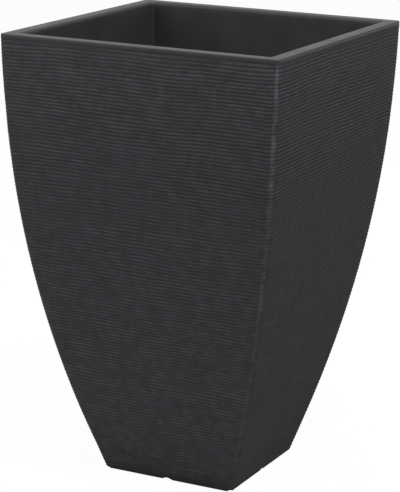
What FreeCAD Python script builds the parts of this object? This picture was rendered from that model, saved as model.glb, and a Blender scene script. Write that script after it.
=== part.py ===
import FreeCAD, Part
import math
import os
import Sketcher

# Square flower pot: a ribbed outer shell, a lift-out liner whose rim caps the shell, and drain plugs.
# Millimetres, +Z up, origin at the middle of the base on the ground.

# Driving dimensions
DIMENSIONS = {
    # outer form
    "top_width": "390",
    "base_width": "190",
    "pot_height": "600",
    "corner_radius": "9",
    # outer shell
    "shell_wall": "6",
    "shell_floor": "6",
    "shell_corner_inside": "9",
    "shell_floor_round": "8",
    "foot_height": "4",
    "foot_width": "14",
    "foot_corner_radius": "6",
    "foot_edge_round": "4.5",
    "notch_width": "16",
    "notch_height": "3.8",
    # rim of the liner and its seat on the shell
    "rim_width": "20",
    "rim_thickness": "3.5",
    "rim_corner_radius": "5",
    "rim_outer_round": "1.5",
    "rim_inner_round": "4.5",
    "rim_root_round": "3",
    "lip_depth": "1",
    "lip_thickness": "3",
    "lip_clearance": "0.4",
    "seam_gap": "0.5",
    # liner
    "liner_wall": "3",
    "liner_floor": "4",
    "liner_corner_radius": "4",
    "liner_floor_round": "8",
    "sump_height": "60",
    # drain plugs
    "drain_spacing": "110",
    "drain_diameter": "20",
    "plug_clearance": "0.3",
    "plug_tip_inset": "1",
    "plug_protrusion": "2",
    "plug_head_diameter": "30",
    "plug_head_thickness": "3",
    "plug_head_round": "1.2",
    "tab_width": "14",
    "tab_height": "14",
    "tab_thickness": "4",
    "tab_hole_diameter": "7",
    "tab_root": "1",
    "tab_round": "0.8",
    # how far a cutting sketch or tool runs past the solid that it cuts
    "overrun": "5",
    # largest part of a corner's radius or a wall that an edge round beside it may take
    "round_limit_share": "0.9",
}

# Values that follow from the driving dimensions. The shell's side is one circular arc, upright at the rim.
# The liner's side is one too, but it is upright below the rim, as far as the round of the rim's inner edge.
FORMULAS = {
    "seat_level": "Dims.pot_height - Dims.rim_thickness",
    "lip_level": "seat_level - Dims.lip_depth",
    "shell_arc": "((Dims.top_width - Dims.base_width)^2 / 4 + Dims.pot_height^2)"
                 " / (Dims.top_width - Dims.base_width)",
    "liner_upright": "lip_level - Dims.rim_inner_round",
    "liner_arc": "((Dims.top_width - Dims.base_width)^2 / 4 + liner_upright^2)"
                 " / (Dims.top_width - Dims.base_width)",
    "shell_top": "lip_level - Dims.seam_gap",
    "tongue_inset": "Dims.lip_thickness + Dims.lip_clearance",
    "shell_floor_top": "Dims.foot_height + Dims.shell_floor",
    "liner_bottom": "shell_floor_top + Dims.sump_height",
    "liner_floor_top": "liner_bottom + Dims.liner_floor",
    "liner_inset": "Dims.rim_width - Dims.liner_wall",
    "foot_half": "Dims.base_width / 2 - Dims.foot_width",
    "notch_radius": "(Dims.notch_width^2 / 4 + Dims.notch_height^2) / (2 * Dims.notch_height)",
    "plug_radius": "Dims.drain_diameter / 2 - Dims.plug_clearance",
    "plug_shank": "max(Dims.shell_floor; Dims.liner_floor) + Dims.plug_protrusion",
}

# Each side's arc, and the level at which it becomes upright
SHELL_SIDE = ("Derived.shell_arc", "Dims.pot_height")
LINER_SIDE = ("Derived.liner_arc", "Derived.liner_upright")

# Points this near each other, as a share of the pot's height, are taken to be at one place.
SAME_PLACE_SHARE = 1e-5

doc = FreeCAD.newDocument("square_flower_pot")


def fill_sheet():
    """Put the driving dimensions in a sheet, and the values that follow from them in a variable set."""
    sheet = doc.addObject("Spreadsheet::Sheet", "Dims")
    for row, (alias, value) in enumerate(DIMENSIONS.items(), start=1):
        sheet.set(f"A{row}", alias)
        sheet.set(f"B{row}", value)
        sheet.setAlias(f"B{row}", alias)
    doc.recompute()
    derived = doc.addObject("App::VarSet", "Derived")
    for name, formula in FORMULAS.items():
        derived.addProperty("App::PropertyFloat", name)
        derived.setExpression(name, formula)
    doc.recompute()
    return derived


derived = fill_sheet()


def number(formula):
    """The value of an expression, for the first place of a sketch's geometry."""
    return float(derived.evalExpression(str(formula)))


def new_sketch(body, role, name):
    """An empty sketch on one of the body's own origin planes."""
    sketch = body.newObject("Sketcher::SketchObject", name)
    plane = next(item for item in body.Origin.OriginFeatures if item.Role == role)
    sketch.AttachmentSupport = (plane, "")
    sketch.MapMode = "FlatFace"
    return sketch


def bind(sketch, kind, *places, formula):
    """Add a dimension to a sketch and tie it to an expression."""
    index = sketch.addConstraint(Sketcher.Constraint(kind, *places, number(formula)))
    sketch.setExpression(f"Constraints[{index}]", str(formula))


def join(sketch, *pairs):
    """Make pairs of points of a sketch meet."""
    for first, first_end, second, second_end in pairs:
        sketch.addConstraint(Sketcher.Constraint("Coincident", first, first_end, second, second_end))


def line(sketch, start, end):
    """Add a straight line to a sketch and return its number."""
    return sketch.addGeometry(Part.LineSegment(FreeCAD.Vector(*start, 0), FreeCAD.Vector(*end, 0)))


def add_side_outline(sketch, side, inset, low, high):
    """Draw the section ``inset`` inside a side: arcs to the side's upright level, then upright lines."""
    arc, upright_level = side
    radius = number(f"{arc} - ({inset})")
    across = number(f"{arc} - Dims.top_width / 2")
    level = number(upright_level)
    bottom, top = number(low), number(high)
    has_walls = top > level
    turn_low = math.asin((bottom - level) / radius)
    turn_high = math.asin((min(top, level) - level) / radius)
    half_low = radius * math.cos(turn_low) - across
    half_high = radius * math.cos(turn_high) - across
    normal = FreeCAD.Vector(0, 0, 1)
    right_circle = Part.Circle(FreeCAD.Vector(-across, level, 0), normal, radius)
    left_circle = Part.Circle(FreeCAD.Vector(across, level, 0), normal, radius)
    right = sketch.addGeometry(Part.ArcOfCircle(right_circle, turn_low, turn_high))
    left = sketch.addGeometry(Part.ArcOfCircle(left_circle, math.pi - turn_high, math.pi - turn_low))
    floor = line(sketch, (-half_low, bottom), (half_low, bottom))
    roof = line(sketch, (half_high, top), (-half_high, top))
    join(sketch, (floor, 1, left, 2), (floor, 2, right, 1))
    sketch.addConstraint(Sketcher.Constraint("Horizontal", floor))
    sketch.addConstraint(Sketcher.Constraint("Horizontal", roof))
    sketch.addConstraint(Sketcher.Constraint("Symmetric", left, 3, right, 3, -2))
    sketch.addConstraint(Sketcher.Constraint("Equal", left, right))
    bind(sketch, "Radius", right, formula=f"{arc} - ({inset})")
    bind(sketch, "DistanceX", right, 3, -1, 1, formula=f"{arc} - Dims.top_width / 2")
    bind(sketch, "DistanceY", -1, 1, right, 3, formula=upright_level)
    bind(sketch, "DistanceY", -1, 1, floor, 1, formula=low)
    bind(sketch, "DistanceY", -1, 1, roof, 1, formula=high)
    if not has_walls:
        join(sketch, (roof, 1, right, 2), (roof, 2, left, 1))
        return
    right_wall = line(sketch, (half_high, level), (half_high, top))
    left_wall = line(sketch, (-half_high, top), (-half_high, level))
    join(sketch, (right, 2, right_wall, 1), (right_wall, 2, roof, 1))
    join(sketch, (roof, 2, left_wall, 1), (left_wall, 2, left, 1))
    sketch.addConstraint(Sketcher.Constraint("Horizontal", right, 3, right, 2))
    sketch.addConstraint(Sketcher.Constraint("Horizontal", left, 3, left, 1))
    sketch.addConstraint(Sketcher.Constraint("Vertical", right_wall))
    sketch.addConstraint(Sketcher.Constraint("Vertical", left_wall))


def add_rectangle(sketch, half_width, low, high):
    """Draw a rectangle that is symmetric about the sketch's upright axis."""
    half, bottom, top = number(half_width), number(low), number(high)
    corners = ((-half, bottom), (half, bottom), (half, top), (-half, top))
    sides = [line(sketch, corners[i], corners[(i + 1) % len(corners)]) for i in range(len(corners))]
    floor, right, roof, left = sides
    join(sketch, *((side, 2, sides[(i + 1) % len(sides)], 1) for i, side in enumerate(sides)))
    sketch.addConstraint(Sketcher.Constraint("Symmetric", floor, 1, floor, 2, -2))
    sketch.addConstraint(Sketcher.Constraint("Horizontal", roof))
    for upright in (right, left):
        sketch.addConstraint(Sketcher.Constraint("Vertical", upright))
    bind(sketch, "DistanceX", -1, 1, right, 1, formula=half_width)
    bind(sketch, "DistanceY", -1, 1, floor, 1, formula=low)
    bind(sketch, "DistanceY", -1, 1, roof, 1, formula=high)


def add_circle(sketch, across, up, radius):
    """Draw a circle whose centre and radius follow expressions."""
    centre = FreeCAD.Vector(number(across), number(up), 0)
    circle = sketch.addGeometry(Part.Circle(centre, FreeCAD.Vector(0, 0, 1), number(radius)))
    bind(sketch, "Radius", circle, formula=radius)
    bind(sketch, "DistanceX", -1, 1, circle, 3, formula=across)
    bind(sketch, "DistanceY", -1, 1, circle, 3, formula=up)


def pad_both_ways(body, sketch, length, name):
    """Thicken a sketch equally to both sides of its plane."""
    pad = body.newObject("PartDesign::Pad", name)
    pad.Profile = sketch
    pad.SideType = "Symmetric"
    pad.setExpression("Length", length)
    doc.recompute()
    return pad


def cut_through(body, sketch, name):
    """Cut a sketch right through the body to both sides of its plane, and make sure that it cuts."""
    before = body.Shape.Volume
    pocket = body.newObject("PartDesign::Pocket", name)
    pocket.Profile = sketch
    pocket.Type = "ThroughAll"
    pocket.SideType = "Symmetric"
    doc.recompute()
    if body.Shape.Volume >= before:
        raise RuntimeError(f"{name} cuts nothing from {body.Label}")
    return pocket


def edges_where(feature, test):
    """Names of the feature's edges whose every sampled point passes a test."""
    names = []
    for index, edge in enumerate(feature.Shape.Edges, start=1):
        first, last = edge.ParameterRange
        points = [edge.valueAt(first), edge.valueAt((first + last) / 2), edge.valueAt(last)]
        if all(test(point) for point in points):
            names.append(f"Edge{index}")
    return names


def round_edges(body, test, radius, name):
    """Round the edges of the body's last feature that pass a test."""
    base = body.Tip
    fillet = body.newObject("PartDesign::Fillet", name)
    fillet.Base = (base, edges_where(base, test))
    fillet.setExpression("Radius", radius)
    doc.recompute()
    return fillet


def close(first, second):
    """Whether two lengths are the same, but for rounding."""
    return abs(first - second) < SAME_PLACE_SHARE * number("Dims.pot_height")


def at_level(level):
    """A test for points at one height."""
    return lambda point: close(point.z, number(level))


def combine(body, kind, tool, name):
    """Fuse a tool body with a body, or cut it away."""
    boolean = body.newObject("PartDesign::Boolean", name)
    boolean.Type = kind
    boolean.addObject(tool)
    doc.recompute()
    return boolean


def limited(radius, *walls):
    """An edge round that stays within the corners and walls beside it."""
    limits = "; ".join(f"Dims.round_limit_share * ({wall})" for wall in walls)
    return f"min({radius}; {limits})"


def tapered_block(label, side, inset, low, high, corner):
    """A square block whose four sides follow an arc of the pot, with rounded upright corners."""
    body = doc.addObject("PartDesign::Body", label)
    front = new_sketch(body, "XZ_Plane", f"{label}_front")
    add_side_outline(front, side, inset, low, high)
    pad_both_ways(body, front, "Dims.top_width + 2 * Dims.overrun", f"{label}_pad")
    trim = new_sketch(body, "YZ_Plane", f"{label}_side")
    add_side_outline(trim, side, inset, f"{low} - Dims.overrun", f"{high} + Dims.overrun")
    add_rectangle(trim, "Dims.top_width / 2 + 2 * Dims.overrun",
                  f"{low} - 2 * Dims.overrun", f"{high} + 2 * Dims.overrun")
    cut_through(body, trim, f"{label}_trim")
    round_edges(body, lambda point: close(abs(point.x), abs(point.y)), corner, f"{label}_corners")
    return body


def upright_block(label, inset, low, high, corner):
    """A square block with upright sides, for the rim, where the pot's side is upright too."""
    body = doc.addObject("PartDesign::Body", label)
    front = new_sketch(body, "XZ_Plane", f"{label}_front")
    add_rectangle(front, f"Dims.top_width / 2 - ({inset})", low, high)
    pad_both_ways(body, front, f"Dims.top_width - 2 * ({inset})", f"{label}_pad")
    round_edges(body, lambda point: close(abs(point.x), abs(point.y)), corner, f"{label}_corners")
    return body


def drain_hole_sketch(body, places):
    """A sketch of drain holes at the given places, seen from above."""
    sketch = new_sketch(body, "XY_Plane", f"{body.Label}_drain_sketch")
    for across, up in places:
        add_circle(sketch, across, up, "Dims.drain_diameter / 2")
    return sketch


def make_outer_shell():
    """The outer moulding: curved walls, floor, standing foot with drain notches, and a tongue for the rim."""
    shell = tapered_block("outer_shell", SHELL_SIDE, "0", "0", "Derived.shell_top", "Dims.corner_radius")
    round_edges(shell, at_level("0"), limited("Dims.foot_edge_round", "Dims.corner_radius"), "foot_round")
    tongue_corner = "max(Dims.corner_radius - Derived.tongue_inset; Dims.lip_clearance)"
    tongue = upright_block("shell_tongue", "Derived.tongue_inset", "Derived.shell_top - Dims.overrun",
                           "Derived.seat_level", tongue_corner)
    combine(shell, "Fuse", tongue, "add_tongue")
    cavity = tapered_block("shell_cavity", SHELL_SIDE, "Dims.shell_wall", "Derived.shell_floor_top",
                           "Dims.pot_height + Dims.overrun", "Dims.shell_corner_inside")
    round_edges(cavity, at_level("Derived.shell_floor_top"),
                limited("Dims.shell_floor_round", "Dims.shell_corner_inside"), "cavity_floor_round")
    combine(shell, "Cut", cavity, "hollow_shell")
    make_foot(shell)
    cut_through(shell, drain_hole_sketch(shell, [("0", "0")]), "shell_drain")
    return shell


def make_foot(shell):
    """Recess the underside so that the pot stands on a ring, and notch each side of the ring for drainage."""
    sketch = new_sketch(shell, "XY_Plane", "foot_sketch")
    add_rectangle(sketch, "Derived.foot_half", "-Derived.foot_half", "Derived.foot_half")
    before = shell.Shape.Volume
    recess = shell.newObject("PartDesign::Pocket", "foot_recess")
    recess.Profile = sketch
    recess.Reversed = True
    recess.setExpression("Length", "Dims.foot_height")
    doc.recompute()
    if shell.Shape.Volume >= before:
        raise RuntimeError("the foot's recess cuts nothing")
    half, height = number("Derived.foot_half"), number("Dims.foot_height")
    round_edges(shell, lambda point: close(abs(point.x), half) and close(abs(point.y), half)
                and point.z <= height, "Dims.foot_corner_radius", "foot_corners")
    for role in ("XZ_Plane", "YZ_Plane"):
        notch = new_sketch(shell, role, f"notch_{role}")
        add_circle(notch, "0", "Dims.notch_height - Derived.notch_radius", "Derived.notch_radius")
        cut_through(shell, notch, f"drain_notches_{role}")


def make_inner_liner(places):
    """The lift-out liner: a smooth well with a rim that turns over the shell's top edge."""
    liner = upright_block("inner_liner", "0", "Derived.lip_level", "Dims.pot_height",
                          "Dims.rim_corner_radius")
    rim_height = "Dims.rim_thickness + Dims.lip_depth"
    round_edges(liner, at_level("Dims.pot_height"),
                limited("Dims.rim_outer_round", "Dims.rim_corner_radius", rim_height), "rim_outer_edge")
    channel_corner = "max(Dims.corner_radius - Dims.lip_thickness; Dims.lip_clearance)"
    channel = upright_block("rim_channel", "Dims.lip_thickness",
                            "Derived.lip_level - Dims.overrun", "Derived.seat_level", channel_corner)
    combine(liner, "Cut", channel, "open_channel")
    bucket_corner = "Dims.liner_corner_radius + Dims.liner_wall"
    bucket = tapered_block("liner_bucket", LINER_SIDE, "Derived.liner_inset", "Derived.liner_bottom",
                           "Dims.pot_height - Dims.rim_thickness / 2", bucket_corner)
    round_edges(bucket, at_level("Derived.liner_bottom"),
                limited("Dims.liner_floor_round + Dims.liner_wall", bucket_corner), "bucket_floor_round")
    combine(liner, "Fuse", bucket, "add_bucket")
    channel_wall = number("Dims.top_width / 2 - Dims.lip_thickness - Dims.overrun")
    round_edges(liner, lambda point: close(point.z, number("Derived.seat_level"))
                and abs(point.x) < channel_wall and abs(point.y) < channel_wall,
                limited("Dims.rim_root_round", "Dims.rim_inner_round"), "rim_root")
    well = tapered_block("liner_well", LINER_SIDE, "Dims.rim_width", "Derived.liner_floor_top",
                         "Dims.pot_height + Dims.overrun", "Dims.liner_corner_radius")
    round_edges(well, at_level("Derived.liner_floor_top"),
                limited("Dims.liner_floor_round", "Dims.liner_corner_radius"), "well_floor_round")
    combine(liner, "Cut", well, "hollow_liner")
    mouth = number("Dims.top_width / 2 - Dims.rim_outer_round - Dims.overrun")
    round_edges(liner, lambda point: close(point.z, number("Dims.pot_height"))
                and abs(point.x) < mouth and abs(point.y) < mouth,
                limited("Dims.rim_inner_round", "Dims.rim_width - Dims.rim_outer_round"), "rim_inner_edge")
    cut_through(liner, drain_hole_sketch(liner, places), "liner_drains")
    return liner


def make_plug(label, across, along, level):
    """A soft bung: a shank that fills a drain hole, a head that seats on the floor, and a pull tab."""
    plug = doc.addObject("PartDesign::Body", label)
    section = new_sketch(plug, "XZ_Plane", f"{label}_section")
    outline = (
        ("0", "-Derived.plug_shank"),
        ("Derived.plug_radius - Dims.plug_tip_inset", "-Derived.plug_shank"),
        ("Derived.plug_radius", "0"),
        ("Dims.plug_head_diameter / 2", "0"),
        ("Dims.plug_head_diameter / 2", "Dims.plug_head_thickness"),
        ("0", "Dims.plug_head_thickness"),
    )
    points = [(number(x), number(z)) for x, z in outline]
    sides = [line(section, points[i], points[(i + 1) % len(points)]) for i in range(len(points))]
    join(section, *((side, 2, sides[(i + 1) % len(sides)], 1) for i, side in enumerate(sides)))
    for side, (x, z) in zip(sides, outline):
        bind(section, "DistanceX", -1, 1, side, 1, formula=x)
        bind(section, "DistanceY", -1, 1, side, 1, formula=z)
    turned = plug.newObject("PartDesign::Revolution", f"{label}_turned")
    turned.Profile = section
    turned.ReferenceAxis = (section, ["V_Axis"])
    doc.recompute()
    round_edges(plug, at_level("Dims.plug_head_thickness"), "Dims.plug_head_round", f"{label}_head_round")
    make_tab(plug)
    for axis, formula in (("x", across), ("y", along), ("z", level)):
        plug.setExpression(f"Placement.Base.{axis}", formula)
    doc.recompute()
    return plug


def make_tab(plug):
    """Stand a round-topped pull tab with an eye on a plug's head."""
    half = "Dims.tab_width / 2"
    root = "Dims.plug_head_thickness - Dims.tab_root"
    eye = "Dims.plug_head_thickness + Dims.tab_height - Dims.tab_width / 2"
    sketch = new_sketch(plug, "XZ_Plane", f"{plug.Label}_tab_sketch")
    reach, low, middle = number(half), number(root), number(eye)
    circle = Part.Circle(FreeCAD.Vector(0, middle, 0), FreeCAD.Vector(0, 0, 1), reach)
    crown = sketch.addGeometry(Part.ArcOfCircle(circle, 0, math.pi))
    left = line(sketch, (-reach, middle), (-reach, low))
    base = line(sketch, (-reach, low), (reach, low))
    right = line(sketch, (reach, low), (reach, middle))
    join(sketch, (left, 2, base, 1), (base, 2, right, 1))
    sketch.addConstraint(Sketcher.Constraint("Tangent", crown, 2, left, 1))
    sketch.addConstraint(Sketcher.Constraint("Tangent", right, 2, crown, 1))
    sketch.addConstraint(Sketcher.Constraint("Horizontal", base))
    sketch.addConstraint(Sketcher.Constraint("Vertical", left))
    sketch.addConstraint(Sketcher.Constraint("Vertical", right))
    bind(sketch, "Radius", crown, formula=half)
    bind(sketch, "DistanceX", -1, 1, crown, 3, formula="0")
    bind(sketch, "DistanceY", -1, 1, crown, 3, formula=eye)
    bind(sketch, "DistanceY", -1, 1, base, 1, formula=root)
    add_circle(sketch, "0", eye, "Dims.tab_hole_diameter / 2")
    pad_both_ways(plug, sketch, "Dims.tab_thickness", f"{plug.Label}_tab")
    side = number("Dims.tab_thickness / 2")
    head = number("Dims.plug_head_thickness")
    round_edges(plug, lambda point: close(abs(point.y), side) and point.z > head,
                "Dims.tab_round", f"{plug.Label}_tab_round")


def check(parts):
    """Stop if any object failed or any part is not one valid solid."""
    for item in doc.Objects:
        if "Invalid" in item.State or "Error" in item.State:
            raise RuntimeError(f"{item.Label} failed: {item.State}")
    for part in parts:
        shape = part.Shape
        if shape.isNull() or not shape.isValid() or len(shape.Solids) != 1:
            raise RuntimeError(f"{part.Label} is not one valid solid")
        box = shape.BoundBox
        print(f"{part.Label}: volume {shape.Volume:.0f} mm3, x {box.XMin:.2f} to {box.XMax:.2f},"
              f" y {box.YMin:.2f} to {box.YMax:.2f}, z {box.ZMin:.2f} to {box.ZMax:.2f}")


def main():
    """Build every part, check it and write its file."""
    reach = "Dims.drain_spacing / 2"
    drains = {
        "liner_plug_front_left": (f"-({reach})", f"-({reach})"),
        "liner_plug_front_right": (reach, f"-({reach})"),
        "liner_plug_back_left": (f"-({reach})", reach),
        "liner_plug_back_right": (reach, reach),
    }
    parts = [make_outer_shell(), make_inner_liner(drains.values())]
    parts += [make_plug(label, across, along, "Derived.liner_floor_top")
              for label, (across, along) in drains.items()]
    parts.append(make_plug("base_plug", "0", "0", "Derived.shell_floor_top"))
    check(parts)
    os.makedirs("parts", exist_ok=True)
    for part in parts:
        part.Shape.exportStep(f"parts/{part.Label}.step")


main()
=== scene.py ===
import logging
import math
from collections.abc import Callable, Iterable
from dataclasses import dataclass, field
from enum import Enum, IntEnum

import bmesh
import bpy
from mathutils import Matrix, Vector, noise


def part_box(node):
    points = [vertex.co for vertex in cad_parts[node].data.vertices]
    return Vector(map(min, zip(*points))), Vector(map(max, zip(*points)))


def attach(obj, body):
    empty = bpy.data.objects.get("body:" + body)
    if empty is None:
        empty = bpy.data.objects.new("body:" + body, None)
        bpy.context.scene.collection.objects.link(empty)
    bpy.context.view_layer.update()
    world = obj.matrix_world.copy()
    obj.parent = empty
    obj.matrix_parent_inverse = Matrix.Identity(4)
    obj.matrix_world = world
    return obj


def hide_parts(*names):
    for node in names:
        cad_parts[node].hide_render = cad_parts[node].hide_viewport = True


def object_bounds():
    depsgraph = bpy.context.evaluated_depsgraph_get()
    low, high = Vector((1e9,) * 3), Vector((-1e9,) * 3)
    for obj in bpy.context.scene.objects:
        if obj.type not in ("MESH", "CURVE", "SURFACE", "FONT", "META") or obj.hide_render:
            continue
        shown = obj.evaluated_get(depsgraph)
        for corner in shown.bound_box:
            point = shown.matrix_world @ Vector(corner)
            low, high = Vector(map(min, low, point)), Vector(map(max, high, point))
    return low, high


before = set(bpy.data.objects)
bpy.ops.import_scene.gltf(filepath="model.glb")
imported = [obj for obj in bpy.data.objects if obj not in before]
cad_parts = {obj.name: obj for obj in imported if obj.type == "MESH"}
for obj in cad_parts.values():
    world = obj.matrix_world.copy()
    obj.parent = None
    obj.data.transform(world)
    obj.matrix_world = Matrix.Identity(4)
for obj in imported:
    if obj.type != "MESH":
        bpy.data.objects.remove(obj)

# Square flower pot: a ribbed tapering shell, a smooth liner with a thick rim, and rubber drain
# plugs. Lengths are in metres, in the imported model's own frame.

CAD_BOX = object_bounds()

# The pot's widths, and how far below its top the liner's sides stop being upright.
TOP_WIDTH = 0.390
BASE_WIDTH = 0.190
LINER_SHOULDER = 0.009

# How near two places must be to count as one, as one level, or as one distance from the axis.
SAME_PLACE = 1e-6
SAME_LEVEL = 1e-5
SAME_REACH = 1e-4

# The least share of a face's normal along an axis for the face to look that way.
FACING = 0.9

QUARTER = math.pi / 2
WHITE = (1, 1, 1, 1)

log = logging.getLogger("square_flower_pot")


class Slot(Enum):
    """The record's material slots."""

    SHELL = "shell_plastic"
    LINER = "liner_plastic"
    PLUG = "plug_rubber"


class PlugPlace(Enum):
    """The drain plugs' nodes, which are also the names of their bodies."""

    FRONT_LEFT = "liner_plug_front_left"
    FRONT_RIGHT = "liner_plug_front_right"
    BACK_LEFT = "liner_plug_back_left"
    BACK_RIGHT = "liner_plug_back_right"
    BASE = "base_plug"


class WearMask(Enum):
    """The mesh attributes that say where a piece's colour is lighter and darker: painted highlight
    and shade on the shell, painted light on the liner's rim top, wear on the plugs.
    """

    # Painted highlight on the rib crests and corner ridges, painted shade in the grooves.
    CREST = "crest"
    # Painted light on the liner's rim top, wear on the plugs.
    EDGE = "edge"


class Joining(Enum):
    """How a tool object changes a piece."""

    CUT = "DIFFERENCE"
    ADD = "UNION"


class Sum(Enum):
    """The sums that the node trees work out."""

    PLUS = "ADD"
    TIMES = "MULTIPLY"
    LARGER = "MAXIMUM"


class ColourMix(IntEnum):
    """The places of a colour mix node's sockets, several of which share a name."""

    SHARE = 0
    RESULT = 2
    FIRST = 6
    SECOND = 7


@dataclass(frozen=True)
class Ring:
    """One level loop of a swept wall.

    Args:
        half: half of the loop's width.
        level: its height above the ground.
    """

    half: float
    level: float


def clamped(value: float) -> float:
    """A value kept from 0 to 1."""
    return min(1.0, max(0.0, value))


def quarter_turns(steps: int) -> list[float]:
    """Angles from 0 to a quarter turn, in equal steps."""
    return [QUARTER * step / steps for step in range(steps + 1)]


class Workbench:
    """Blender's modelling tools, used on one object at a time."""

    @staticmethod
    def clear() -> None:
        """Leave edit mode and deselect every object."""
        if bpy.context.mode != "OBJECT":
            bpy.ops.object.mode_set(mode="OBJECT")
        bpy.ops.object.select_all(action="DESELECT")

    @staticmethod
    def take(piece: bpy.types.Object) -> None:
        """Select one object alone and make it the active one.

        Args:
            piece: the object.
        """
        Workbench.clear()
        piece.select_set(True)
        bpy.context.view_layer.objects.active = piece

    @staticmethod
    def named(name: str) -> bpy.types.Object:
        """Name the object that was just added, and its mesh.

        Args:
            name: the new name.

        Returns:
            The object.
        """
        piece = bpy.context.object
        piece.name = name
        piece.data.name = name
        return piece

    @staticmethod
    def rod(name: str, sides: int, radius: float, depth: float, middle: tuple[float, float, float],
            tilt: tuple[float, float, float] = (0, 0, 0)) -> bpy.types.Object:
        """Add a round rod, with nothing else selected.

        Args:
            name: its name.
            sides: how many flats go round it.
            radius: its radius.
            depth: its length.
            middle: where its middle lies.
            tilt: how it is turned from upright.

        Returns:
            The rod.
        """
        Workbench.clear()
        bpy.ops.mesh.primitive_cylinder_add(vertices=sides, radius=radius, depth=depth,
                                            location=middle, rotation=tilt)
        return Workbench.named(name)

    @staticmethod
    def place_in_mesh() -> None:
        """Put the selected object's place, turn and scale into its mesh."""
        bpy.ops.object.transform_apply(location=True, rotation=True, scale=True)

    @staticmethod
    def edit(piece: bpy.types.Object) -> None:
        """Open one object in edit mode with nothing selected.

        Args:
            piece: the object.
        """
        Workbench.take(piece)
        bpy.ops.object.mode_set(mode="EDIT")
        bpy.ops.mesh.select_all(action="DESELECT")

    @staticmethod
    def pick_edges(piece: bpy.types.Object, test: Callable[[Vector, Vector], bool]) -> None:
        """Select the edges whose two end points pass a test, and nothing else.

        Args:
            piece: the object that is open in edit mode.
            test: takes an edge's two end points.
        """
        bpy.ops.mesh.select_mode(type="EDGE")
        bpy.ops.mesh.select_all(action="DESELECT")
        shape = bmesh.from_edit_mesh(piece.data)
        for edge in shape.edges:
            edge.select_set(test(edge.verts[0].co, edge.verts[1].co))
        bmesh.update_edit_mesh(piece.data)

    @staticmethod
    def pick_faces(piece: bpy.types.Object, test: Callable[[Vector, Vector], bool]) -> None:
        """Select the faces whose centre and normal pass a test, and nothing else.

        Args:
            piece: the object that is open in edit mode.
            test: takes a face's centre and its normal.
        """
        bpy.ops.mesh.select_mode(type="FACE")
        bpy.ops.mesh.select_all(action="DESELECT")
        shape = bmesh.from_edit_mesh(piece.data)
        for face in shape.faces:
            face.select_set(test(face.calc_center_median(), face.normal))
        bmesh.update_edit_mesh(piece.data)

    @staticmethod
    def sweep(start: Ring, rings: Iterable[Ring]) -> None:
        """Extrude the selected loop from ring to ring, scaling it about the pot's axis.

        Args:
            start: where the selected loop lies.
            rings: where each next loop lies.
        """
        last = start
        for ring in rings:
            rise = (0, 0, ring.level - last.level)
            bpy.ops.mesh.extrude_edges_move(TRANSFORM_OT_translate={"value": rise})
            scale = ring.half / last.half
            bpy.ops.transform.resize(value=(scale, scale, 1), center_override=(0, 0, 0))
            last = ring

    @staticmethod
    def face_outwards() -> None:
        """Turn every face of the object in edit mode outwards."""
        bpy.ops.mesh.select_all(action="SELECT")
        bpy.ops.mesh.normals_make_consistent(inside=False)

    @staticmethod
    def combine(piece: bpy.types.Object, tool: bpy.types.Object, joining: Joining) -> None:
        """Cut a tool away from a piece, or join it on, and delete the tool.

        Args:
            piece: the object that is changed.
            tool: the closed object that cuts or joins.
            joining: which of the two.
        """
        Workbench.take(piece)
        modifier = piece.modifiers.new(joining.name.lower(), "BOOLEAN")
        modifier.operation = joining.value
        modifier.solver = "EXACT"
        modifier.object = tool
        bpy.ops.object.modifier_apply(modifier=modifier.name)
        bpy.data.objects.remove(tool, do_unlink=True)

    @staticmethod
    def mask(piece: bpy.types.Object, mask: WearMask) -> bpy.types.Attribute:
        """Give a piece's points an empty mask for painted light and wear."""
        return piece.data.attributes.new(mask.value, "FLOAT", "POINT")

    @staticmethod
    def settle(piece: bpy.types.Object, smooth_angle: float) -> None:
        """Put a piece's place into its mesh and shade it smooth up to an angle.

        Args:
            piece: the finished object.
            smooth_angle: edges that turn by more than this stay sharp, in degrees.
        """
        Workbench.take(piece)
        Workbench.place_in_mesh()
        bpy.ops.object.shade_smooth_by_angle(angle=math.radians(smooth_angle))
        Workbench.clear()


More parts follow.
